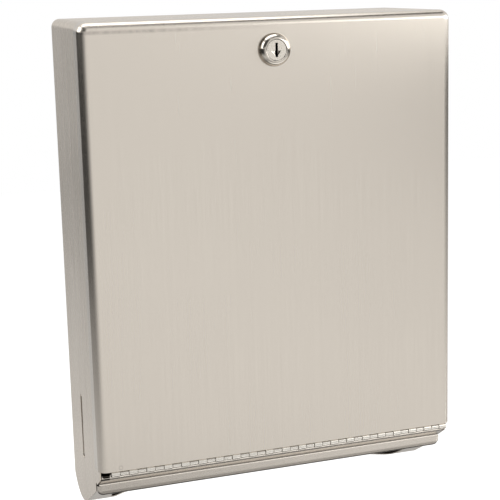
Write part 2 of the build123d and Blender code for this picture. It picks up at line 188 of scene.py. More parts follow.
# %% [markdown]
# ## Cards
#
# A photographer sets black and grey boards round polished metal, and these cards do the same work. Only
# reflections see them. A card is a sheet of points, each with its own shade, which an Attribute node turns
# into glow, so one card can run from black to white.

# %% Card maker
card_centre_y = -0.1
card_glow = bpy.data.materials.new("card_glow")
card_glow.use_nodes = True
glow_tree = card_glow.node_tree
glow_tree.nodes.clear()
card_shade = glow_tree.nodes.new("ShaderNodeAttribute")
card_shade.attribute_name = "shade"
card_light = add_node(glow_tree, "ShaderNodeEmission", Color=(1, 1, 1, 1), Strength=card_shade.outputs["Fac"])
add_node(glow_tree, "ShaderNodeOutputMaterial", Surface=card_light.outputs[0])


def card(name, rows):
    """A card that only reflections see, through rows of points that each have a place and a shade."""
    points = [point for row in rows for point in row]
    width = len(rows[0])
    faces = []
    for i in range(len(rows) - 1):
        for j in range(width - 1):
            a = i * width + j
            faces.append((a, a + 1, a + width + 1, a + width))
    mesh = bpy.data.meshes.new(name)
    mesh.from_pydata([point[:3] for point in points], [], faces)
    shade = mesh.attributes.new("shade", "FLOAT", "POINT")
    shade.data.foreach_set("value", [point[3] for point in points])
    mesh.materials.append(card_glow)
    obj = bpy.data.objects.new(name, mesh)
    obj.visible_camera = False
    obj.visible_diffuse = False
    obj.visible_shadow = False
    scene.collection.objects.link(obj)


def standing_card(name, x, distance, turns, rows):
    """A curved card. turns are angles from +X, and rows pair a height with a shade for each angle."""
    plan = []
    for turn in turns:
        angle = math.radians(turn)
        plan.append((x + distance * math.cos(angle), card_centre_y + distance * math.sin(angle)))
    card(name, [[(px, py, z, shade) for (px, py), shade in zip(plan, shades)] for z, shades in rows])


print("cards glow by their attribute", card_shade.attribute_name)

# %% [markdown]
# ## Where the cards stand
#
# The left card is the dark stripe down the door's left edge, and the right card is the dark line down its
# right edge. The back card shades the cabinet's side. The camera card darkens the lock's dome and the door's
# top bend, and the gap card keeps a dark line along the top. The floor card gives the rail, the strip and the
# lip their light and dark bands. Stripes painted on the metal would look right from one place only.

# %% Cards
left_x, right_x = cad_box[0][0], cad_box[1][0]
standing_card("left_card", left_x, 1.1, (108, 150, 180, 216, 238, 264), [
    (-0.60, (0.80, 0.80, 0.75, 0.72, 0.85, 0.95)),
    (-0.20, (0.12, 0.06, 0.04, 0.04, 0.38, 0.90)),
    (0.24, (0.04, 0.04, 0.04, 0.04, 0.38, 0.90)),
])
standing_card("back_card", left_x, 1.4, (45, 78, 90, 108), [
    (-0.61, (0.84, 0.70, 0.80, 0.78)),
    (-0.34, (0.84, 0.70, 0.77, 0.76)),
    (-0.18, (0.84, 0.70, 0.61, 0.60)),
    (-0.04, (0.84, 0.70, 0.71, 0.70)),
    (0.90, (0.84, 0.70, 0.73, 0.72)),
])
standing_card("right_card", right_x, 1.2, (291, 301, 314, 345, 405), [
    (-0.44, (1.00, 1.00, 0.95, 0.90, 0.85)),
    (-0.24, (1.00, 1.02, 0.85, 0.50, 0.50)),
    (-0.06, (1.00, 0.80, 0.30, 0.14, 0.30)),
    (0.06, (1.00, 0.52, 0.10, 0.08, 0.25)),
])
standing_card("camera_card", 0, 1.25, (200, 208, 256, 266), [
    (0.28, (0.90, 0.50, 0.50, 0.90)),
    (0.42, (0.90, 0.10, 0.10, 0.90)),
    (1.60, (0.90, 0.12, 0.12, 0.90)),
])
card("gap_card", [
    [(-0.17, -1.54, 1.45, 0.08), (0.93, 0.16, 1.45, 0.08)],
    [(0.17, -1.76, 1.45, 0.08), (1.27, -0.06, 1.45, 0.08)],
])
floor_card_z = -0.6
floor_columns = (-3, -0.7, -0.4, 0, 0.42, 3)
floor_shades = [
    (-3.5, (1.00, 1.00, 1.00, 1.01, 1.05, 1.05)),
    (-1.2, (1.00, 1.00, 0.97, 0.98, 1.05, 1.05)),
    (-0.9, (1.00, 0.90, 0.50, 0.50, 0.92, 1.00)),
    (-0.56, (1.00, 0.90, 0.52, 0.52, 0.92, 1.00)),
    (-0.45, (1.00, 0.70, 0.55, 1.80, 2.20, 1.00)),
    (-0.3, (1.00, 0.60, 0.45, 1.80, 2.20, 1.00)),
    (-0.22, (1.00, 0.40, 0.20, 0.20, 0.30, 1.00)),
    (0.16, (1.00, 0.40, 0.20, 0.20, 0.30, 1.00)),
    (0.30, (1.00, 0.45, 0.70, 0.70, 0.70, 1.00)),
    (0.85, (1.00, 0.45, 0.70, 0.70, 0.70, 1.00)),
    (1.10, (1.00, 0.85, 0.85, 0.85, 0.85, 1.00)),
    (1.70, (1.00, 0.85, 0.85, 0.85, 0.85, 1.00)),
]
floor_rows = []
for y, shades in floor_shades:
    floor_rows.append([(x, y, floor_card_z, shade) for x, shade in zip(floor_columns, shades)])
card("floor_card", floor_rows)

# %% [markdown]
# ## Floor
#
# A wide pale plane lies well below the cabinet and sends some light back up to the undersides. The camera
# would see it as grey, so it also glows a little for what sees it directly, and stays as white as the room.

# %% Floor
floor_drop = 0.62
floor_half = 4
floor_colour = (0.85, 0.85, 0.84, 1)
floor_lift = 0.5

floor_corners = [(-1, -1), (1, -1), (1, 1), (-1, 1)]
floor_points = [(x * floor_half, y * floor_half, -floor_drop) for x, y in floor_corners]
floor_mesh = bpy.data.meshes.new("floor")
floor_mesh.from_pydata(floor_points, [], [(0, 1, 2, 3)])
floor = bpy.data.objects.new("floor", floor_mesh)
scene.collection.objects.link(floor)
floor_paint = bpy.data.materials.new("pale_floor")
floor_paint.use_nodes = True
floor_tree = floor_paint.node_tree
floor_tree.nodes.clear()
floor_matt = add_node(floor_tree, "ShaderNodeBsdfDiffuse", Color=floor_colour)
floor_seen = add_node(floor_tree, "ShaderNodeMapRange", Value=seen_directly(floor_tree), To_Max=floor_lift)
floor_glow = add_node(floor_tree, "ShaderNodeEmission", Strength=floor_seen.outputs[0])
floor_sum = floor_tree.nodes.new("ShaderNodeAddShader")
feed(floor_tree, floor_sum.inputs[0], floor_matt.outputs[0])
feed(floor_tree, floor_sum.inputs[1], floor_glow.outputs[0])
add_node(floor_tree, "ShaderNodeOutputMaterial", Surface=floor_sum.outputs[0])
floor_mesh.materials.append(floor_paint)
print("floor at", -floor_drop)

# %% [markdown]
# ## Measures
#
# What the boxes cannot tell, such as a bend radius, is a size of the real sheet metal and is named where it
# is first used.

# %% Measures
door_low, door_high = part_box("door_pan")
wrap_low, wrap_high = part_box("cabinet_wrap")
rail_low, rail_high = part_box("front_rail")
panel_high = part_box("back_panel")[1]
pin_low, pin_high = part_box("hinge_pin")
case_low, case_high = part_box("lock_case")
plug_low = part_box("lock_plug")[0]

sheet = 0.8 * mm
hinge_y = (pin_low.y + pin_high.y) / 2
hinge_z = (pin_low.z + pin_high.z) / 2
lock_z = (case_low.z + case_high.z) / 2
print("door", [round(x / mm, 1) for x in door_high - door_low], "hinge height", round(hinge_z / mm, 1))

# %% [markdown]
# ## Satin steel
#
# The sheet is ground in one direction, which leaves fine upright lines. A noise texture that is stretched
# along one axis gives such lines: many per metre across the grain, few along it. The lines change the colour
# and the roughness a little and lift the surface by a hair. Anisotropic then draws each reflection out across
# the grain, which is why the front shows no sharp mirror picture. A second, wide noise is the faint
# cloudiness of handled steel.


# %% Helpers for patterns
def noise(tree, vector, scale, detail):
    """A noise texture that reads the vector."""
    return add_node(tree, "ShaderNodeTexNoise", Vector=vector, Scale=scale, Detail=detail).outputs["Fac"]


def spread(tree, value, low, high, start=0.0, end=1.0):
    """The value, moved from one range to another and kept inside it."""
    limits = {"From_Min": start, "From_Max": end, "To_Min": low, "To_Max": high}
    return add_node(tree, "ShaderNodeMapRange", Value=value, **limits).outputs["Result"]


def joined(tree, first, second, operation="MULTIPLY"):
    """Two values joined by an operation."""
    node = tree.nodes.new("ShaderNodeMath")
    node.operation = operation
    feed(tree, node.inputs[0], first)
    feed(tree, node.inputs[1], second)
    return node.outputs[0]


def blend(tree, factor, first, second):
    """A colour between two others."""
    node = tree.nodes.new("ShaderNodeMix")
    node.data_type = "RGBA"
    for name, value in (("A", first), ("B", second), ("Factor", factor)):
        feed(tree, node.inputs[name], value)
    return node.outputs["Result"]


def band(tree, value, low, high, soft):
    """1 where the value is between two limits, falling off softly outside them."""
    rise = spread(tree, value, 0.0, 1.0, low - soft, low)
    fall = spread(tree, value, 1.0, 0.0, high, high + soft)
    return joined(tree, rise, fall)


print("helpers for patterns: noise, spread, joined, blend, band")

# %% Ground metal
# The dark brown that every mark mixes in: painted shade, and the door's weld ring.
shade_and_weld_colour = (0.03, 0.024, 0.018, 1)
broad_scale = 0.16
cloud_scale = 14.0
fine_share, broad_share, cloud_share = 0.5, 0.25, 0.25
roughness_swing = 0.04
grain_depth = 0.05 * mm


def ground_metal(name, colour, grain, roughness, anisotropy=0.0, contrast=0.02, lift=0.02, marks=None):
    """Metal with lines. grain is the lines per metre along X, Y and Z, and marks says where it is painted
    darker.
    """
    material = bpy.data.materials.new(name)
    material.use_nodes = True
    tree = material.node_tree
    place = tree.nodes.new("ShaderNodeTexCoord").outputs["Object"]
    lines = add_node(tree, "ShaderNodeMapping", Vector=place, Scale=grain).outputs["Vector"]
    fine = noise(tree, lines, 1.0, 4.0)
    broad = noise(tree, lines, broad_scale, 2.0)
    cloud = noise(tree, place, cloud_scale, 3.0)
    mixed = joined(tree, joined(tree, fine, fine_share), joined(tree, broad, broad_share), "ADD")
    mixed = joined(tree, mixed, joined(tree, cloud, cloud_share), "ADD")
    level = spread(tree, mixed, 0.0, 1.0, 0.3, 0.7)
    dark = [c * (1 - contrast) for c in colour]
    light = [c * (1 + contrast) for c in colour]
    paint = blend(tree, level, (*dark, 1), (*light, 1))
    if marks:
        axes = add_node(tree, "ShaderNodeSeparateXYZ", Vector=place).outputs
        paint = blend(tree, marks(tree, *axes), paint, shade_and_weld_colour)
    bump = add_node(tree, "ShaderNodeBump", Strength=lift, Distance=grain_depth, Height=fine)
    looks = {
        "Metallic": 1.0,
        "Anisotropic": anisotropy,
        "Base Color": paint,
        "Roughness": spread(tree, level, roughness + roughness_swing, roughness - roughness_swing),
        "Normal": bump.outputs["Normal"],
    }
    for socket, value in looks.items():
        feed(tree, tree.nodes["Principled BSDF"].inputs[socket], value)
    return material


print("marks mix in the colour", shade_and_weld_colour[:3])

# %% [markdown]
# ## Painted shade and a weld ring
#
# Some places are darker than the light alone makes them, so shade is painted into their colour: the rolled
# edge of the strip, the line above every second knuckle, the pocket beside the hinge, the seam beside the
# strip and the inside of the keyway. The door has a painted dark line just below its top bend, and the ring
# of a weld. Each mark is a soft range of Object coordinates, which here are the real places on the piece,
# and it mixes in a dark brown.

# %% Painted shade on the door and the hinge, and a weld ring
# The dark line below the door's top bend is painted shade. It fades out towards the right.
shade_line_z = door_high.z - 7.1 * mm
shade_line_half = 0.5 * mm
shade_line_soft = 1.2 * mm
shade_line_left, shade_line_right = -95 * mm, 5 * mm
shade_line_streaks = 260.0
weld_x = -121.1 * mm
weld_z = door_low.z + 2.6 * mm
weld_inner, weld_outer = 1.2 * mm, 1.5 * mm
weld_soft = 0.5 * mm
weld_shade = 0.13
# The dark line above every second knuckle is a painted shadow.
roll_line = hinge_z + 0.75 * mm
roll_soft = 0.3 * mm
roll_shade = 0.40


def top_bend_shade_and_weld(tree, x, y, z):
    """A dark line of painted shade just below the door's top bend, and a faint weld ring near the hinge."""
    line = band(tree, z, shade_line_z - shade_line_half, shade_line_z + shade_line_half, shade_line_soft)
    fade = spread(tree, x, 1.0, 0.0, shade_line_left, shade_line_right)
    across = add_node(tree, "ShaderNodeCombineXYZ", X=x).outputs[0]
    uneven = spread(tree, noise(tree, across, shade_line_streaks, 3.0), 0.12, 0.34, 0.35, 0.65)
    top_shade_streaks = joined(tree, joined(tree, line, fade), uneven)
    along = joined(tree, x, weld_x, "SUBTRACT")
    up = joined(tree, z, weld_z, "SUBTRACT")
    square = joined(tree, joined(tree, along, along), joined(tree, up, up), "ADD")
    ring = band(tree, joined(tree, square, 0.5, "POWER"), weld_inner, weld_outer, weld_soft)
    return joined(tree, top_shade_streaks, joined(tree, ring, weld_shade), "ADD")


def roll_shadow(tree, x, y, z):
    """Painted shadow: a dark line on the cabinet's rolled tongues where they run in under the door's edge."""
    return spread(tree, z, 0.0, roll_shade, roll_line, roll_line + roll_soft)


print("painted bend shade at", round(shade_line_z / mm, 1), "mm, weld ring at", round(weld_x / mm, 1), "mm")

# %% Painted shade on the rail, the side and the keyway
# Each mark below paints shade: on the rolled edge, in the pocket, in the seam and in the keyway.
edge_shade = 0.66
pocket_shade = 0.94
seam_shade = 0.9
seam_back = -77.5 * mm
keyway_shade = 0.92
keyway_half = 0.95 * mm
facet_shade = 0.8
facet_left, facet_right = 0.8 * mm, 3.6 * mm
facet_low = lock_z - 5.2 * mm


def rail_painted_shade(tree, x, y, z):
    """Painted shade on the strip's rolled lower edge and inside the pocket beside the hinge."""
    roll = spread(tree, z, edge_shade, 0.0, rail_low.z + 2.2 * mm, rail_low.z + 3.8 * mm)
    beside = spread(tree, x, pocket_shade, 0.0, pin_low.x, pin_low.x + 0.3 * mm)
    behind = spread(tree, y, 0.0, 1.0, rail_low.y + 0.2 * mm, rail_low.y + 0.4 * mm)
    above = spread(tree, z, 0.0, 1.0, rail_high.z - 5 * mm, rail_high.z - 4 * mm)
    pocket = joined(tree, joined(tree, beside, behind), above)
    return joined(tree, roll, pocket, "MAXIMUM")


def seam_shadow(tree, x, y, z):
    """Painted shadow in the seam between the side and the strip, only on the tab behind the strip."""
    skin = (wrap_high.x - 0.06 * mm) ** 2
    core = (wrap_high.x - 0.12 * mm) ** 2
    inside = spread(tree, joined(tree, x, x), 1.0, 0.0, core, skin)
    level = spread(tree, z, seam_shade, 0.0, rail_low.z + 9.5 * mm, rail_low.z + 10.5 * mm)
    near = spread(tree, y, 1.0, 0.0, seam_back, seam_back + 0.5 * mm)
    return joined(tree, joined(tree, inside, level), near)


def keyway_shadow(tree, x, y, z):
    """Painted shade inside the keyway, and on the facet of its mouth that faces away from the light."""
    near = spread(tree, joined(tree, x, x), 1.0, 0.0, keyway_half**2, (keyway_half + 0.2 * mm) ** 2)
    deep = spread(tree, y, 0.0, keyway_shade, plug_low.y + 0.2 * mm, plug_low.y + 0.7 * mm)
    slot = joined(tree, near, deep)
    right = band(tree, x, facet_left, facet_right, 0.1 * mm)
    below = band(tree, z, facet_low, lock_z, 0.1 * mm)
    sunk = spread(tree, y, 0.0, facet_shade, plug_low.y + 0.03 * mm, plug_low.y + 0.1 * mm)
    facet = joined(tree, joined(tree, right, below), sunk)
    return joined(tree, slot, facet, "MAXIMUM")


print("rail marks below", round(rail_high.z / mm, 1), "mm, keyway marks at", round(lock_z / mm, 1), "mm")

# %% [markdown]
# ## Six steels
#
# The grain runs upright on the door, the back panel and the cabinet's sides, from side to side over the top,
# and lengthwise on the rail and the hinge. One steel for all would be shorter, but a mark belongs to one
# piece only, and each piece was ground by itself, so each has its own.

# %% Steels
steel_colour = (0.605, 0.553, 0.488)
wrap_colour = (0.622, 0.55, 0.462)
rail_colour = (0.575, 0.527, 0.468)
hinge_colour = (0.62, 0.585, 0.53)
hinge_grain = (40, 2500, 2500)

door_steel = ground_metal("door_steel", steel_colour, (2300, 2300, 26), 0.25, 0.55, marks=top_bend_shade_and_weld)
wrap_steel = ground_metal("wrap_steel", wrap_colour, (22, 1500, 22), 0.27, 0.4, marks=seam_shadow)
rail_steel = ground_metal("rail_steel", rail_colour, (22, 1500, 1500), 0.27, marks=rail_painted_shade)
panel_steel = ground_metal("panel_steel", steel_colour, (1500, 1500, 22), 0.3, 0.4)
hinge_steel = ground_metal("hinge_steel", hinge_colour, hinge_grain, 0.24, contrast=0.06)
# The cabinet's leaf gets a copy of the hinge steel that differs only by its painted shadow line.
shaded_roll_steel = ground_metal("shaded_roll_steel", hinge_colour, hinge_grain, 0.24, contrast=0.06, marks=roll_shadow)
print("steels:", [m.name for m in bpy.data.materials if m.name.endswith("_steel")])

# %% [markdown]
# ## Other metals
#
# The lock head is polished chrome, its plug is dull nickel, the parts behind the door are plated with zinc,
# and the wafers in the plug are stamped brass. Each is the same kind of node tree with its own lines. The
# small parts that keep the model's own mesh only get their material here.

# %% Other metals
chrome_colour = (0.53, 0.487, 0.428)
nickel_colour = (0.605, 0.562, 0.497)
zinc_colour = (0.56, 0.565, 0.57)
brass_colour = (0.70, 0.54, 0.27)

chrome = ground_metal("polished_chrome", chrome_colour, (160, 160, 160), 0.09, contrast=0.03, lift=0.01)
nickel = ground_metal(
    "dull_nickel", nickel_colour, (900, 900, 900), 0.27, contrast=0.04, lift=0.03, marks=keyway_shadow
)
zinc = ground_metal("zinc_plate", zinc_colour, (700, 700, 260), 0.3, contrast=0.12)
brass = ground_metal("stamped_brass", brass_colour, (60, 1800, 1800), 0.26, contrast=0.1)

slot_finish = {
    "satin_steel": panel_steel,
    "hinge_steel": hinge_steel,
    "lock_chrome": chrome,
    "lock_nickel": nickel,
    "plated_steel": zinc,
    "wafer_brass": brass,
}
for row in frame["record"]["subparts"]:
    node = frame["nodes"][row["node"]]
    node.data.materials.clear()
    node.data.materials.append(slot_finish[row["material_slot"]])
print("finishes given to", len(frame["nodes"]), "pieces of the model")

# %% [markdown]
# ## Tools for sheet metal
#
# Sheet metal is a skin with one thickness. It is easiest to lay out the outer skin as faces, merge the points
# that meet, turn all faces outwards, and let Solidify make the inner side. A narrow Bevel then softens the
# cut edges, because a real edge is never perfectly sharp, and Weighted Normal keeps the flats flat beside it.

# %% Paths
bend_steps = 8
round_steps = 10


def arc(centre, radius, start, end, steps):
    """Points along an arc in a plane, from one angle to another in degrees."""
    points = []
    for i in range(steps + 1):
        angle = math.radians(start + (end - start) * i / steps)
        points.append((centre[0] + radius * math.cos(angle), centre[1] + radius * math.sin(angle)))
    return points


def bent(corners, radii, steps=bend_steps):
    """A path with its inner corners rounded, each by its own radius."""
    path_points = [corners[0]]
    for before, corner, after, radius in zip(corners, corners[1:], corners[2:], radii):
        corner = Vector(corner)
        a = (Vector(before) - corner).normalized()
        b = (Vector(after) - corner).normalized()
        half = a.angle(b) / 2
        centre = corner + (a + b).normalized() * (radius / math.sin(half))
        first = corner + a * (radius / math.tan(half)) - centre
        last = corner + b * (radius / math.tan(half)) - centre
        turn = first.angle(last)
        for i in range(steps + 1):
            share = i / steps
            ray = first * math.sin((1 - share) * turn) + last * math.sin(share * turn)
            path_points.append(tuple(centre + ray / math.sin(turn)))
    path_points.append(corners[-1])
    return path_points


print("a small bend has", bend_steps, "steps and a corner", round_steps)

# %% Skins
merge_distance = 0.001 * mm


def join_rows(work, rows):
    """Faces between each row of points and the next."""
    for a, b in zip(rows, rows[1:]):
        for j in range(len(a) - 1):
            work.faces.new((a[j], a[j + 1], b[j + 1], b[j]))


def finished_mesh(name, work):
    """The mesh of what was built, after which the workspace is given back."""
    mesh = bpy.data.meshes.new(name)
    work.to_mesh(mesh)
    work.free()
    return mesh


def mesh_from(name, build, outward=None):
    """A mesh that a function fills. outward is a point and the direction of the face nearest to it."""
    work = bmesh.new()
    build(work)
    bmesh.ops.remove_doubles(work, verts=work.verts, dist=merge_distance)
    bmesh.ops.recalc_face_normals(work, faces=work.faces)
    if outward:
        point, direction = outward
        nearest = min(work.faces, key=lambda f: (f.calc_center_median() - Vector(point)).length)
        if nearest.normal.dot(Vector(direction)) < 0:
            bmesh.ops.reverse_faces(work, faces=work.faces)
    return finished_mesh(name, work)


def hull(name, points):
    """The tight skin round some points."""
    work = bmesh.new()
    for point in points:
        work.verts.new(point)
    bmesh.ops.convex_hull(work, input=work.verts)
    return finished_mesh(name, work)


print("points closer than", merge_distance / mm, "mm are merged")

# %% Pieces
bevel_segments = 2
bevel_angle = math.radians(40)


def add_piece(name, mesh, material):
    """A new object at the origin that shows the mesh in one material."""
    mesh.materials.clear()
    mesh.materials.append(material)
    obj = bpy.data.objects.new(name, mesh)
    scene.collection.objects.link(obj)
    return obj


def keep_result(obj):
    """Keep what the modifiers make as the piece's plain mesh."""
    graph = bpy.context.evaluated_depsgraph_get()
    mesh = bpy.data.meshes.new_from_object(
        obj.evaluated_get(graph), preserve_all_data_layers=True, depsgraph=graph
    )
    obj.modifiers.clear()
    obj.data = mesh


def settle(obj, thickness=0.0, edge=0.0):
    """Give a skin its thickness and soft edges, and keep the result as a plain mesh."""
    if thickness:
        solid = obj.modifiers.new("thickness", "SOLIDIFY")
        solid.thickness = thickness
        solid.offset = -1
        solid.use_even_offset = True
    if edge:
        soft = obj.modifiers.new("edge", "BEVEL")
        soft.width = edge
        soft.segments = bevel_segments
        soft.limit_method = "ANGLE"
        soft.angle_limit = bevel_angle
    even = obj.modifiers.new("normals", "WEIGHTED_NORMAL")
    even.weight = 100
    obj.data.shade_smooth()
    keep_result(obj)
    obj.data.name = obj.name
    print(obj.name, len(obj.data.polygons), "faces")
    return obj


def cut(obj, cutter):
    """Take a shape out of a piece for good."""
    tool = bpy.data.objects.new("cutter", cutter)
    scene.collection.objects.link(tool)
    boolean = obj.modifiers.new("cut", "BOOLEAN")
    boolean.object = tool
    boolean.solver = "EXACT"
    keep_result(obj)
    bpy.data.objects.remove(tool)


def stands_for(obj, body, slot, *nodes):
    """Let a piece ride on a body in place of the model's own pieces."""
    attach(obj, body)
    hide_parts(*nodes)


print("edges over", round(math.degrees(bevel_angle)), "degrees get a bevel")

# %% [markdown]
# ## Door
#
# The door is one sheet, drawn into a shallow pan. Its top and sides are rounded, and its lower edge is folded
# square, where the hinge sits. A cube with a bevel would come close, but rings give exact bends: each ring is
# the door's outline, a little smaller and nearer to the front than the last. The front is two faces that meet
# on the middle line, so that the hole for the lock can lie between them.

# %% Door
door_edge = 6 * mm
door_corner = 7 * mm
door_soft = 0.1 * mm
lock_hole = 9.4 * mm
edge_steps = 14
corner_steps = 14
hole_steps = 24


def door_outline(inset):
    """The door's outline in X and Z, from its lower left corner over the top to its lower right corner."""
    left, right, top = door_low.x + inset, door_high.x - inset, door_high.z - inset
    r = door_corner - inset
    points = [(left, door_low.z)]
    points += arc((left + r, top - r), r, 180, 90, corner_steps)
    points += [(0, top)]
    points += arc((right - r, top - r), r, 90, 0, corner_steps)
    points += [(right, door_low.z)]
    return points


def build_door(work):
    profile = [(0, door_high.y)]
    for x, y in arc((0, 0), door_edge, 0, 90, edge_steps):
        profile.append((door_edge - x, door_low.y + door_edge - y))
    rings = []
    for inset, y in profile:
        rings.append([work.verts.new((x, y, z)) for x, z in door_outline(inset)])
    join_rows(work, rings)
    face = rings[-1]
    half = len(face) // 2
    middle = work.verts.new((0, door_low.y, door_low.z))
    left_arc = arc((0, lock_z), lock_hole, 90, 270, hole_steps)
    right_arc = arc((0, lock_z), lock_hole, -90, 90, hole_steps)
    left_hole = [work.verts.new((x, door_low.y, z)) for x, z in left_arc]
    right_hole = [work.verts.new((x, door_low.y, z)) for x, z in right_arc]
    right_hole[0] = left_hole[-1]
    right_hole[-1] = left_hole[0]
    work.faces.new(face[: half + 1] + left_hole + [middle])
    work.faces.new(face[half:] + [middle] + right_hole)
    work.faces.new([ring[0] for ring in rings] + [middle] + [ring[-1] for ring in reversed(rings)])


door_skin = mesh_from("door_shell", build_door, ((0, door_low.y, 0), (0, -1, 0)))
door = settle(add_piece("door_shell", door_skin, door_steel), sheet, door_soft)
stands_for(door, "door", "satin_steel", "door_pan")

# %% [markdown]
# ## Cabinet wrap
#
# The top and both sides are one sheet. Its front edge turns in to a narrow return that the door closes
# against, and its lower edge follows the curve of the towel chute. The sides are flat outlines with a slot,
# the top is a strip that runs round both corners, and the return is drawn along the whole front edge.

# %% Sizes of the sides
wrap_bend = 6 * mm
side_return = 9 * mm
opening_corner = 5 * mm
front_bend = 0.95 * mm
front_steps = 6
door_gap = 0.7 * mm
front = door_high.y + door_gap
opening_low = door_low.z + door_gap
nose_top = door_low.z - door_gap
nose_height = 2.7 * mm
nose_low = rail_high.z - nose_height
nose_front = wrap_low.y
nose_corner = 1.4 * mm
strip_height = 9.1 * mm
strip_top = rail_low.z + strip_height
strip_depth = 2.2 * mm
strip_seam = 2.8 * mm
side_front = front + strip_depth + strip_seam
side_lift = 2.6 * mm
chute_low = 26 * mm
chute_rise = 12.4 * mm
chute_bend = 5 * mm
chute_steps = 24
slot_from_wall = 39.5 * mm
slot_bottom = wrap_low.z + 37 * mm
slot_length = 49 * mm
slot_width = 5 * mm
top_return = 11.58 * mm
seam_tab = 8 * mm
wrap_soft = 0.12 * mm

chute_radius = (chute_low**2 + chute_rise**2) / (2 * chute_rise)
chute_centre = Vector((-chute_low, wrap_low.z + chute_radius))
side_corner = Vector((side_front, rail_low.z + side_lift))
reach = chute_centre - side_corner
slope = math.atan2(reach.y, reach.x) - math.asin(chute_radius / reach.length)
chute_start = math.degrees(slope) - 90
bend_drop = math.sqrt((chute_radius - chute_bend) ** 2 - (chute_low - chute_bend) ** 2)
bend_centre = (-chute_bend, chute_centre.y - bend_drop)
chute_end = math.degrees(math.atan2(-bend_drop, chute_low - chute_bend))
chute_curve = arc(chute_centre, chute_radius, chute_start, chute_end, chute_steps)
wall_curve = arc(bend_centre, chute_bend, chute_end, 0, bend_steps)
print("chute radius", round(chute_radius / mm, 1), "mm, side corner", [round(x / mm, 1) for x in side_corner])


# %% Cabinet wrap
def side_outline():
    """The side's outline in Y and Z, as a front part and a back part that meet above and below the slot."""
    shoulder = wrap_high.z - wrap_bend
    r = slot_width / 2
    slot_high = (-slot_from_wall, slot_bottom + slot_length - r)
    slot_low = (-slot_from_wall, slot_bottom + r)
    slot_front = arc(slot_high, r, 90, 180, bend_steps) + arc(slot_low, r, 180, 270, bend_steps)
    slot_back = arc(slot_low, r, 270, 360, bend_steps) + arc(slot_high, r, 0, 90, bend_steps)
    front_part = [(-slot_from_wall, shoulder), (front + front_bend, shoulder)]
    front_part += [(front + front_bend, opening_low), (front, opening_low), (front, nose_top)]
    nose = bent(
        [(front, nose_top), (nose_front, nose_top), (nose_front, nose_low), (front, strip_top)],
        [nose_corner, nose_corner],
    )
    front_part += nose[1:]
    front_part += [(side_front, strip_top), tuple(side_corner)]
    middle = len(chute_curve) // 4
    front_part += chute_curve[: middle + 1]
    front_part += slot_front[::-1]
    back_part = [(-slot_from_wall, shoulder)] + slot_back[::-1]
    back_part += chute_curve[middle:] + wall_curve + [(0, shoulder)]
    return front_part, back_part


def wrap_corners(inset):
    """The two rounded top corners of the wrap in X and Z, from left to right."""
    centre_x = wrap_high.x - wrap_bend
    centre_z = wrap_high.z - wrap_bend
    points = arc((-centre_x, centre_z), wrap_bend - inset, 180, 90, round_steps)
    return points + arc((centre_x, centre_z), wrap_bend - inset, 90, 0, round_steps)


def build_wrap(work):
    half = wrap_high.x
    tab_x = half - seam_tab
    tab = [(half, strip_top), (half, side_corner.y), (tab_x, side_corner.y), (tab_x, strip_top)]
    for side in (-1, 1):
        for part in side_outline():
            work.faces.new([work.verts.new((side * half, y, z)) for y, z in part])
        work.faces.new([work.verts.new((side * x, side_front, z)) for x, z in tab])
    depths = (0, -slot_from_wall, front + front_bend)
    join_rows(work, [[work.verts.new((x, y, z)) for y in depths] for x, z in wrap_corners(0)])

    rings = []
    for inset, y in arc((front_bend, front + front_bend), -front_bend, 0, 90, front_steps):
        ring = [(inset - half, opening_low)] + wrap_corners(inset) + [(half - inset, opening_low)]
        rings.append([work.verts.new((x, y, z)) for x, z in ring])
    join_rows(work, rings)
    inner_x = half - side_return
    corner_x = inner_x - opening_corner
    corner_z = wrap_high.z - top_return - opening_corner
    opening = [(inner_x, opening_low)]
    opening += arc((corner_x, corner_z), opening_corner, 0, 90, bend_steps)
    opening += arc((-corner_x, corner_z), opening_corner, 90, 180, bend_steps)
    opening += [(-inner_x, opening_low)]
    work.faces.new(rings[-1] + [work.verts.new((x, front, z)) for x, z in opening])


wrap_skin = mesh_from("cabinet_shell", build_wrap, ((0, front / 2, wrap_high.z), (0, 0, 1)))
wrap = settle(add_piece("cabinet_shell", wrap_skin, wrap_steel), sheet, wrap_soft)
stands_for(wrap, "cabinet", "satin_steel", "cabinet_wrap")

# %% [markdown]
# ## Front rail
#
# Under the door a bent strip carries the hinge: a ledge, a nose, a step back, and a flat band whose ends and
# lower edge roll back. The upper part is one section drawn sideways. The band is made like the door, from
# rings, and both share the row of points where the step turns down into the band. Where the hinge stops short
# at its left end, a notch in the nose leaves a small pocket, which is cut out before the edges are softened.

# %% Front rail
ledge = rail_high.z
ledge_run = 4 * mm
rail_bend = 3 * mm
nose_roll = 4 * mm
strip_roll = 2.8 * mm
roll_depth = 1.6 * mm
strip_lean = 0.09
strip_corner = 4.6 * mm
nose_gap = 0.5 * mm
nose_half = rail_high.x - sheet - nose_gap


def strip_outline(inset, top):
    """The band's outline in X and Z, from its upper right corner round below to its upper left corner."""
    side = rail_high.x - inset
    bottom = rail_low.z + inset
    r = strip_corner - inset
    points = [(side, top)]
    points += arc((side - r, bottom + r), r, 0, -90, round_steps)
    points += arc((r - side, bottom + r), r, 270, 180, round_steps)
    points += [(-side, top)]
    return points


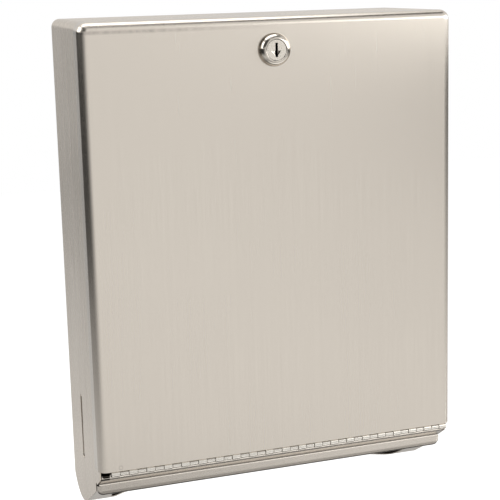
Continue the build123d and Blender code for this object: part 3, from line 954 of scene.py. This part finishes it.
def build_rail(work):
    corners = [(nose_front, ledge), (nose_front, nose_low), (front, strip_top), (front, rail_low.z)]
    section = [(front + ledge_run, ledge)] + bent(corners, [nose_roll, rail_bend])[:-1]
    ends = []
    for y, z in section:
        half = nose_half if (y, z) != section[-1] else rail_high.x - strip_roll
        ends.append((work.verts.new((-half, y, z)), work.verts.new((half, y, z))))
    join_rows(work, ends)
    band_top = section[-1][1]
    profile = [(0, front + strip_depth)]
    for across, deep in arc((0, 0), 1, 0, 90, round_steps):
        profile.append((strip_roll * (1 - across), front + roll_depth * (1 - deep)))
    rings = []
    for inset, y in profile:
        ring = []
        for x, z in strip_outline(inset, band_top):
            ring.append(work.verts.new((x, y + strip_lean * min(band_top - z, strip_height), z)))
        rings.append(ring)
    join_rows(work, rings)
    work.faces.new(rings[-1])


strip_middle = rail_low.z + strip_height / 2
rail_skin = mesh_from("front_rail_strip", build_rail, ((0, front, strip_middle), (0, -1, 0)))
rail = settle(add_piece("front_rail_strip", rail_skin, rail_steel), sheet)

# %% Pocket beside the hinge
pocket_right = pin_low.x
pocket_left = -nose_half + 0.4 * mm
pocket_depth = 1.8 * mm
pocket_low = ledge - pocket_depth
pocket_corner = 1.5 * mm
pocket_steps = 6
pocket_reach = 3.5 * mm
cut_over = 1 * mm
rail_soft = 0.15 * mm

corner_centre = (pocket_left + pocket_corner, pocket_low + pocket_corner)
pocket_outline = [(pocket_left, ledge + cut_over)]
pocket_outline += arc(corner_centre, pocket_corner, 180, 270, pocket_steps)
pocket_outline += [(pocket_right, pocket_low), (pocket_right, ledge + cut_over)]
pocket_points = []
for y in (nose_front - cut_over, nose_front + pocket_reach):
    pocket_points += [(x, y, z) for x, z in pocket_outline]
cut(rail, hull("pocket", pocket_points))
settle(rail, 0.0, rail_soft)
stands_for(rail, "cabinet", "satin_steel", "front_rail")

# %% [markdown]
# ## Back panel
#
# The back panel hangs on the wall and curves forward at the bottom into the lip that the towels slide over.
# It is a flat plate with four screw holes and a weld flange on three sides, followed by rows of points along
# the curve. In the towel outlet the rows leave their middle out, so only a land at each end runs on to the
# front.

# %% Back panel
hole_x = 101.5 * mm
hole_z = 108 * mm
hole_radius = 2.8 * mm
back_flange = 10 * mm
panel_half = panel_high.x
panel_corner = wrap_bend - sheet
panel_soft = 0.12 * mm
flange_half = wrap_high.x - sheet - wrap_bend
lip_land = 18 * mm
land_gap = 1.2 * mm
land_taper = 4 * mm
finger_depth = 19 * mm
finger_corner = 30 * mm
finger_steps = 16
outlet_half = wrap_high.x - sheet - lip_land
slant_start = chute_curve[0][0]
outlet_back = slant_start + finger_depth
land_front = side_corner + land_gap * Vector((math.cos(slope), math.sin(slope)))


def lip_height(y):
    """The height of the lip's outer face at a depth."""
    if y < slant_start:
        return side_corner.y + (y - side_corner.x) * math.tan(slope)
    return chute_centre.y - math.sqrt(chute_radius**2 - (y - chute_centre.x) ** 2)


def lip_rows():
    """Rows along the lip as Y, Z and the half width of what is cut out, or of the plate behind the outlet."""
    plain = arc(bend_centre, chute_bend, 0, chute_end, bend_steps)
    outlet_angle = -math.degrees(math.acos((outlet_back - chute_centre.x) / chute_radius))
    plain += arc(chute_centre, chute_radius, chute_end, outlet_angle, bend_steps)[1:]
    cut_edge = bent(
        [(0, outlet_back), (outlet_half, outlet_back), (outlet_half + land_taper, side_front)],
        [finger_corner],
        finger_steps,
    )[1:-1]
    rows = []
    for i, (y, z) in enumerate(plain):
        rows.append((y, z, hole_x + (cut_edge[0][0] - hole_x) * i / (len(plain) - 1)))
    rows += [(y, lip_height(y), x) for x, y in cut_edge[1:]]
    x, y = cut_edge[-1]
    share = (land_front.x - y) / (side_front - y)
    rows.append((land_front.x, land_front.y, x + share * (outlet_half + land_taper - x)))
    return rows, len(plain)


def build_panel(work):
    rows, plain_count = lip_rows()
    low, high = rows[0][1], panel_high.z
    outer = []
    inner = []
    for z in (hole_z, -hole_z):
        outer += arc((hole_x, z), hole_radius, 90, -90, round_steps)
        inner += arc((hole_x, z), hole_radius, 90, 270, round_steps)
    corner = arc((panel_half - panel_corner, high - panel_corner), panel_corner, 0, 90, bend_steps)
    for side in (-1, 1):
        strip = [(panel_half, low)] + corner + [(flange_half, high), (hole_x, high)] + outer + [(hole_x, low)]
        work.faces.new([work.verts.new((side * x, 0, z)) for x, z in strip])
        flange = [(0, low), (-back_flange, low), (-back_flange, corner[0][1]), (0, corner[0][1])]
        work.faces.new([work.verts.new((side * panel_half, y, z)) for y, z in flange])
    right_side = [(hole_x, high)] + inner + [(hole_x, low)]
    left_side = [(-x, z) for x, z in reversed(right_side)]
    work.faces.new([work.verts.new((x, 0, z)) for x, z in right_side + left_side])
    top_edge = [-flange_half, -hole_x, hole_x, flange_half]
    edge_back = [work.verts.new((x, 0, high)) for x in top_edge]
    edge_front = [work.verts.new((x, -back_flange, high)) for x in top_edge]
    join_rows(work, [edge_back, edge_front])

    points = []
    for y, z, inner_x in rows:
        points.append([work.verts.new((x, y, z)) for x in (-panel_half, -inner_x, inner_x, panel_half)])
    for i, (a, b) in enumerate(zip(points, points[1:])):
        for j in (0, 2):
            work.faces.new((a[j], a[j + 1], b[j + 1], b[j]))
        if i < plain_count - 1:
            work.faces.new((a[1], a[2], b[2], b[1]))


panel_skin = mesh_from("back_plate", build_panel, ((0, 0, 0), (0, 1, 0)))
panel = settle(add_piece("back_plate", panel_skin, panel_steel), sheet, panel_soft)
stands_for(panel, "cabinet", "satin_steel", "back_panel")

# %% [markdown]
# ## Hinge
#
# A continuous hinge is two leaves whose edges are cut into tongues and rolled round one pin, tongue by tongue
# in turn. One tongue repeated in a row is a task for Geometry Nodes: the rolled path becomes a curve, a
# narrow rectangle is swept along it, and the tongue is placed on the points of a line. A plate joins the row.
# The same tree makes both leaves, with other inputs.

# %% Hinge tree
hinge_left, hinge_right = pin_low.x, pin_high.x
knuckle_count = 41
knuckle_pitch = (hinge_right - hinge_left) / knuckle_count
knuckle_gap = 0.45 * mm
leaf_sheet = 0.95 * mm
leaf_width = 11 * mm
leaf_notch = 0.35 * mm
leaf_soft = 0.12 * mm
knuckle_radius = 2.2 * mm
roll_clearance = 0.15 * mm
roll_start, roll_end = 90, 375
roll_steps = 22

leaf_inputs = [
    ("Path", "Geometry"),
    ("Tongue Length", "Float"),
    ("Sheet", "Float"),
    ("Count", "Int"),
    ("First Tongue", "Vector"),
    ("Step", "Vector"),
    ("Plate Size", "Vector"),
    ("Plate Place", "Vector"),
    ("Finish", "Material"),
]


def leaf_tree():
    tree = bpy.data.node_groups.new("rolled_leaf", "GeometryNodeTree")
    for name, kind in leaf_inputs:
        tree.interface.new_socket(name, in_out="INPUT", socket_type="NodeSocket" + kind)
    tree.interface.new_socket("Leaf", in_out="OUTPUT", socket_type="NodeSocketGeometry")
    given = tree.nodes.new("NodeGroupInput").outputs

    def made(kind, **inputs):
        return add_node(tree, "GeometryNode" + kind, **inputs).outputs[0]

    path = made("MeshToCurve", Mesh=given["Path"])
    strip = made("CurvePrimitiveQuadrilateral", Width=given["Tongue Length"], Height=given["Sheet"])
    tongue = made("CurveToMesh", Curve=path, Profile_Curve=strip, Fill_Caps=True)
    line = made("MeshLine", Count=given["Count"], Start_Location=given["First Tongue"], Offset=given["Step"])
    row = made("InstanceOnPoints", Points=line, Instance=tongue)
    block = made("MeshCube", Size=given["Plate Size"])
    plate = made("Transform", Geometry=block, Translation=given["Plate Place"])
    both = add_node(tree, "GeometryNodeJoinGeometry", Geometry=row)
    feed(tree, both.inputs["Geometry"], plate)
    real = made("RealizeInstances", Geometry=both.outputs[0])
    smooth = made("SetShadeSmooth", Geometry=real)
    finish = made("SetMaterial", Geometry=smooth, Material=given["Finish"])
    add_node(tree, "NodeGroupOutput", Leaf=finish)
    return tree


rolled_leaf = leaf_tree()
print("tree", rolled_leaf.name, "with", len(rolled_leaf.nodes), "nodes")


# %% Hinge leaves
def roll_path(lift, radius):
    """A tongue's middle line in Y and Z: in from the plate, then most of the way round the pin."""
    r = radius - leaf_sheet / 2
    plate = knuckle_radius - leaf_sheet / 2
    points = [(leaf_width / 2, lift * plate)]
    points += [(y, lift * z) for y, z in arc((0, 0), r, roll_start, roll_end, roll_steps)]
    mesh = bpy.data.meshes.new("roll_path")
    mesh.from_pydata([(0, y, z) for y, z in points], [(i, i + 1) for i in range(len(points) - 1)], [])
    return mesh


def hinge_leaf(name, first, lift, radius, finish):
    """One leaf, with every second tongue from first on, its plate above (1) or below (-1) the pin."""
    leaf = bpy.data.objects.new(name, roll_path(lift, radius))
    scene.collection.objects.link(leaf)
    rolled = leaf.modifiers.new("rolled", "NODES")
    rolled.node_group = rolled_leaf
    plate_start = knuckle_radius + leaf_notch
    plate_z = hinge_z + lift * (knuckle_radius - leaf_sheet / 2)
    sizes = {
        "Tongue Length": knuckle_pitch - knuckle_gap,
        "Sheet": leaf_sheet,
        "Count": len(range(first, knuckle_count, 2)),
        "First Tongue": (hinge_left + (first + 0.5) * knuckle_pitch, hinge_y, hinge_z),
        "Step": (2 * knuckle_pitch, 0, 0),
        "Plate Size": (hinge_right - hinge_left, leaf_width - plate_start, leaf_sheet),
        "Plate Place": ((hinge_left + hinge_right) / 2, hinge_y + (leaf_width + plate_start) / 2, plate_z),
        "Finish": finish,
    }
    for item in rolled_leaf.interface.items_tree:
        if item.name in sizes:
            rolled[item.identifier] = sizes[item.name]
    return settle(leaf, 0.0, leaf_soft)


door_leaf = hinge_leaf("hinge_row_door", 0, 1, knuckle_radius + roll_clearance, hinge_steel)
stands_for(door_leaf, "door", "hinge_steel", "hinge_leaf_door")
cabinet_leaf = hinge_leaf("hinge_row_cabinet", 1, -1, knuckle_radius - roll_clearance, shaded_roll_steel)
stands_for(cabinet_leaf, "cabinet", "hinge_steel", "hinge_leaf_cabinet")

# %% [markdown]
# ## Turned pieces
#
# The hinge pin and the lock's case are turned on a lathe, and that is also how they are made here: a profile
# of radius and length goes round an axis. The pin's ends are domed where they were peened over.

# %% Hinge pin
pin_radius = 1.2 * mm
pin_dome = 0.5 * mm
pin_crown = 0.12 * mm
pin_steps = 24


def turned(work, profile, place, steps, closed):
    """A profile of radius and length that goes round. place turns a point of the lathe into the frame."""
    rings = []
    for radius, along in profile:
        if radius == 0:
            rings.append([work.verts.new(place(0, 0, along))] * steps)
            continue
        circle = arc((0, 0), radius, 0, 360, steps)[:-1]
        rings.append([work.verts.new(place(x, y, along)) for x, y in circle])
    pairs = list(zip(rings, rings[1:]))
    if closed:
        pairs.append((rings[-1], rings[0]))
    for a, b in pairs:
        for j in range(steps):
            k = (j + 1) % steps
            corners = [a[j], a[k], b[k], b[j]]
            work.faces.new(list(dict.fromkeys(corners)))


def on_pin(x, y, along):
    """A point near the hinge's axis."""
    return (along, hinge_y + x, hinge_z + y)


def build_pin(work):
    profile = [(0, hinge_left), (pin_radius * 0.6, hinge_left + pin_crown)]
    profile += [(pin_radius, hinge_left + pin_dome)]
    profile += [(r, hinge_left + hinge_right - x) for r, x in reversed(profile)]
    turned(work, profile, on_pin, pin_steps, False)


pin = settle(add_piece("hinge_rod", mesh_from("hinge_rod", build_pin), hinge_steel))
stands_for(pin, "cabinet", "hinge_steel", "hinge_pin")

# %% [markdown]
# ## Lock
#
# The lock's head is a polished dome with the plug in its middle. Behind the door the case is a threaded
# barrel with two flats that keep it from turning, so each point there is pulled in to the flats. A notch in
# its end stops the plug.

# %% Lock case
head_radius = case_high.x
head_front = case_low.y
case_back = case_high.y
door_face = door_low.y
plug_gap_radius = 7.35 * mm
case_bore = 6.27 * mm
case_radius = 9.32 * mm
flat_half = 8.02 * mm
flat_start = door_face + 0.01 * mm
thread_pitch = 1.0 * mm
thread_depth = 0.45 * mm
plug_shoulder = plug_low.y + 3.0 * mm
dome_steps = 20
case_steps = 72


def on_lock(x, z, along):
    """A point near the lock's axis, with the barrel pulled in to its flats."""
    if along > flat_start:
        x = max(-flat_half, min(flat_half, x))
    return (x, along, lock_z + z)


def build_case(work):
    profile = []
    for across, up in arc((0, 0), 1, 0, 90, dome_steps):
        radius = plug_gap_radius + (head_radius - plug_gap_radius) * across
        profile.append((radius, door_face + (head_front - door_face) * up))
    profile += [(plug_gap_radius, plug_shoulder), (case_bore, plug_shoulder), (case_bore, case_back)]
    turns = int((case_back - door_face) / thread_pitch) - 1
    profile += [(case_radius - thread_depth, case_back)]
    for i in range(turns):
        crest = case_back - (i + 0.5) * thread_pitch
        profile += [(case_radius, crest), (case_radius - thread_depth, crest - thread_pitch / 2)]
    profile += [(case_radius - thread_depth, door_face)]
    turned(work, profile, on_lock, case_steps, True)


notch_depth = 2 * mm
notch_reach = 19 * mm
notch_angles = (167.5, 219.0, 276.5)
notch_points = []
for depth in (case_back - notch_depth, case_back + cut_over):
    notch_points.append((0, depth, lock_z))
    for angle in notch_angles:
        turn = math.radians(angle)
        notch_points.append((notch_reach * math.cos(turn), depth, lock_z + notch_reach * math.sin(turn)))
case = add_piece("lock_head", mesh_from("lock_head", build_case), chrome)
cut(case, hull("notch", notch_points))
settle(case)
stands_for(case, "door", "lock_chrome", "lock_case")

# %% [markdown]
# ## Plug and the pieces on it
#
# These pieces are flat or straight, so the model's own form is right and only its edges are too sharp. A copy
# of each mesh has its doubles merged and gets a narrow bevel. The plug also gets its keyway mouth: two
# slanted faces that lead the key into the slot.

# %% Plug
plug_soft = 0.08 * mm
flat_angle = math.radians(1)
flare_left = 4.2 * mm
flare_right = 3.3 * mm
flare_top = -0.5 * mm
flare_low = 5.0 * mm
flare_depth = 1.4 * mm
flare_over = 0.3 * mm
plug_front = plug_low.y


def merged_copy(name, node, material):
    """A copy of a piece of the model in one material, with its loose triangles merged into flat faces."""
    work = bmesh.new()
    work.from_mesh(frame["nodes"][node].data)
    bmesh.ops.remove_doubles(work, verts=work.verts, dist=merge_distance)
    bmesh.ops.dissolve_limit(work, angle_limit=flat_angle, verts=work.verts, edges=work.edges)
    return add_piece(name, finished_mesh(name, work), material)


flare = [(-flare_left, flare_top), (flare_right, flare_top), (0, -flare_low)]
flare_points = [(x, plug_front + y, lock_z + z) for x, z in flare for y in (-flare_over, 0)]
flare_points.append((0, plug_front + flare_depth, lock_z + flare_top))
plug = merged_copy("lock_core", "lock_plug", nickel)
cut(plug, hull("flare", flare_points))
settle(plug, 0.0, plug_soft)
stands_for(plug, "plug", "lock_nickel", "lock_plug")

# %% Small pieces
soft_edge = 0.12 * mm
small_pieces = [
    ("clamp_washer", "lock_washer", "door"),
    ("clamp_nut", "lock_nut", "door"),
    ("stop_disc", "stop_washer", "plug"),
    ("cam_lever", "lock_cam", "plug"),
    ("tail_washer", "cam_washer", "plug"),
    ("tail_nut", "cam_nut", "plug"),
]
for name, node, body in small_pieces:
    piece = settle(merged_copy(name, node, zinc), 0.0, soft_edge)
    stands_for(piece, body, "plated_steel", node)
strike = settle(merged_copy("cam_strike", "lock_strike", panel_steel), 0.0, soft_edge)
stands_for(strike, "cabinet", "satin_steel", "lock_strike")
